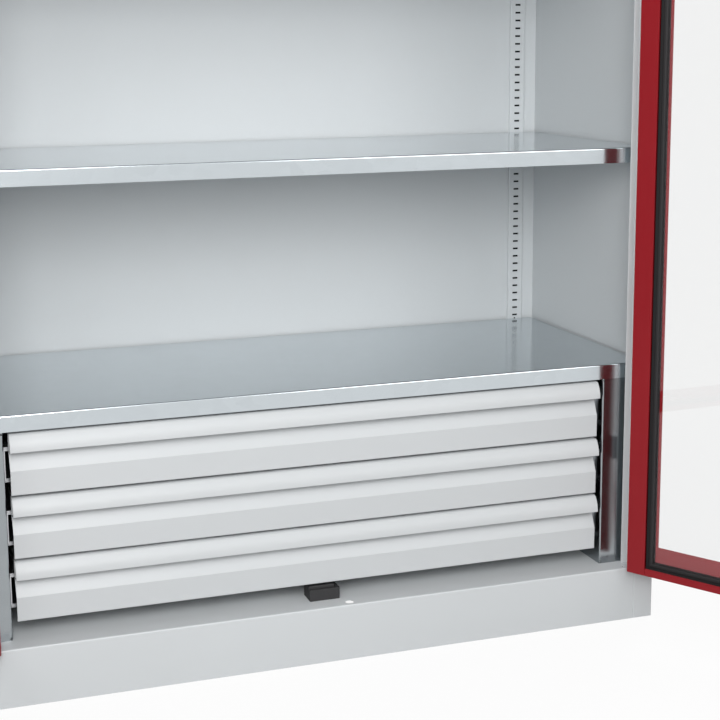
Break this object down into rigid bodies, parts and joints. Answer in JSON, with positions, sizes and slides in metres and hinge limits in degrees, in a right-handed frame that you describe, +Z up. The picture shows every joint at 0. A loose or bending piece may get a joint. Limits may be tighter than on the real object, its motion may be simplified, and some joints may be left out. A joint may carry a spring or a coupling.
{
  "type": "heavy-duty storage cabinet",
  "caption": "Tall sheet-steel cabinet with windowed double doors, zinc-coated shelves on slotted rails and full-width pull-out drawers above a plinth, locked by a turning knob.",
  "frame": {"origin": "on the floor under the middle of the carcass", "axes": "+Z up, -Y out of the front, +X to the right seen from the front"},
  "size_m": [1.7158, 1.0156, 1.95],
  "materials": {
    "carcass_paint": "fine textured powder coat, light grey",
    "drawer_paint": "fine textured powder coat, light grey",
    "door_paint": "fine textured powder coat, ruby red",
    "zinc_coat": "bright zinc coat",
    "slide_steel": "zinc-plated",
    "bright_steel": "zinc-plated",
    "lock_chrome": "polished",
    "black_rubber": "matt",
    "black_plastic": "matt moulded",
    "clear_pane": "clear"
  },
  "bodies": {
    "carcass": {"left_side_panel": "carcass_paint", "right_side_panel": "carcass_paint", "back_panel": "carcass_paint", "floor_panel": "carcass_paint", "plinth_frame": "carcass_paint", "roof_panel": "carcass_paint", "shelf_rail_rear_left": "carcass_paint", "shelf_rail_rear_right": "carcass_paint", "shelf_rail_front_left": "carcass_paint", "shelf_rail_front_right": "carcass_paint", "shelf_1": "zinc_coat", "shelf_2": "zinc_coat", "shelf_3": "zinc_coat", "shelf_4": "zinc_coat", "shelf_clips": "zinc_coat", "left_drawer_upright": "zinc_coat", "right_drawer_upright": "zinc_coat", "drawer_1_fixed_rails": "slide_steel", "drawer_2_fixed_rails": "slide_steel", "drawer_3_fixed_rails": "slide_steel", "door_stop_block": "black_plastic", "left_post_knuckles": "bright_steel", "right_post_knuckles": "bright_steel", "left_hinge_pins": "bright_steel", "right_hinge_pins": "bright_steel"},
    "left_door": {"left_door_skin": "door_paint", "left_pane_seal": "black_rubber", "left_pane": "clear_pane", "left_door_knuckles": "bright_steel", "meeting_strip": "door_paint", "stop_buffer": "black_rubber"},
    "right_door": {"right_door_skin": "door_paint", "right_pane_seal": "black_rubber", "right_pane": "clear_pane", "right_door_knuckles": "bright_steel", "lock_rosette": "black_plastic", "lock_case": "bright_steel", "rod_guides": "black_plastic"},
    "lock_knob": {"lock_knob": "black_plastic", "lock_spindle": "bright_steel", "lock_drive_disc": "bright_steel"},
    "lock_cylinder": {"lock_cylinder": "lock_chrome"},
    "upper_lock_rod": {"upper_lock_rod": "bright_steel"},
    "lower_lock_rod": {"lower_lock_rod": "bright_steel"},
    "drawer_1": {"drawer_1_front": "drawer_paint", "drawer_1_tray": "drawer_paint", "drawer_1_inner_rails": "slide_steel"},
    "drawer_1_middle": {"drawer_1_middle_rails": "slide_steel"},
    "drawer_2": {"drawer_2_front": "drawer_paint", "drawer_2_tray": "drawer_paint", "drawer_2_inner_rails": "slide_steel"},
    "drawer_2_middle": {"drawer_2_middle_rails": "slide_steel"},
    "drawer_3": {"drawer_3_front": "drawer_paint", "drawer_3_tray": "drawer_paint", "drawer_3_inner_rails": "slide_steel"},
    "drawer_3_middle": {"drawer_3_middle_rails": "slide_steel"}
  },
  "joints": [
    {"name": "left_door_hinge", "type": "hinge", "parent": "carcass", "child": "left_door", "pos_m": [-0.56175, -0.2548, 1.00375], "axis": [0, 0, -1], "range_deg": [-121, 54.5]},
    {"name": "right_door_hinge", "type": "hinge", "parent": "carcass", "child": "right_door", "pos_m": [0.56175, -0.2548, 1.00375], "axis": [0, 0, 1], "range_deg": [-121, 54.5]},
    {"name": "upper_rod_slide", "type": "slide", "parent": "right_door", "child": "upper_lock_rod", "axis": [0, 0, 1], "range_m": [0, 0.014]},
    {"name": "lower_rod_slide", "type": "slide", "parent": "right_door", "child": "lower_lock_rod", "axis": [0, 0, -1], "range_m": [0, 0.0141]},
    {"name": "knob_turn", "type": "hinge", "parent": "right_door", "child": "lock_knob", "pos_m": [0.82816, -0.7075, 1.05], "axis": [0.8572, 0.515, 0], "range_deg": [0, 90]},
    {"name": "cylinder_turn", "type": "hinge", "parent": "lock_knob", "child": "lock_cylinder", "pos_m": [0.82816, -0.7075, 1.05], "axis": [0.8572, 0.515, 0], "range_deg": [0, 90]},
    {"name": "drawer_1_slide", "type": "slide", "parent": "carcass", "child": "drawer_1", "axis": [0, -1, 0], "range_m": [0, 0.38]},
    {"name": "drawer_1_middle_slide", "type": "slide", "parent": "carcass", "child": "drawer_1_middle", "axis": [0, -1, 0], "range_m": [0, 0.1901]},
    {"name": "drawer_2_slide", "type": "slide", "parent": "carcass", "child": "drawer_2", "axis": [0, -1, 0], "range_m": [0, 0.38]},
    {"name": "drawer_2_middle_slide", "type": "slide", "parent": "carcass", "child": "drawer_2_middle", "axis": [0, -1, 0], "range_m": [0, 0.1901]},
    {"name": "drawer_3_slide", "type": "slide", "parent": "carcass", "child": "drawer_3", "axis": [0, -1, 0], "range_m": [0, 0.38]},
    {"name": "drawer_3_middle_slide", "type": "slide", "parent": "carcass", "child": "drawer_3_middle", "axis": [0, -1, 0], "range_m": [0, 0.1901]}
  ],
  "couplings": [
    {"joint": "knob_turn", "follows": "upper_rod_slide", "rad_per_m": 112.2},
    {"joint": "lower_rod_slide", "follows": "upper_rod_slide", "ratio": 1},
    {"joint": "drawer_1_middle_slide", "follows": "drawer_1_slide", "ratio": 0.5},
    {"joint": "drawer_2_middle_slide", "follows": "drawer_2_slide", "ratio": 0.5},
    {"joint": "drawer_3_middle_slide", "follows": "drawer_3_slide", "ratio": 0.5}
  ]
}
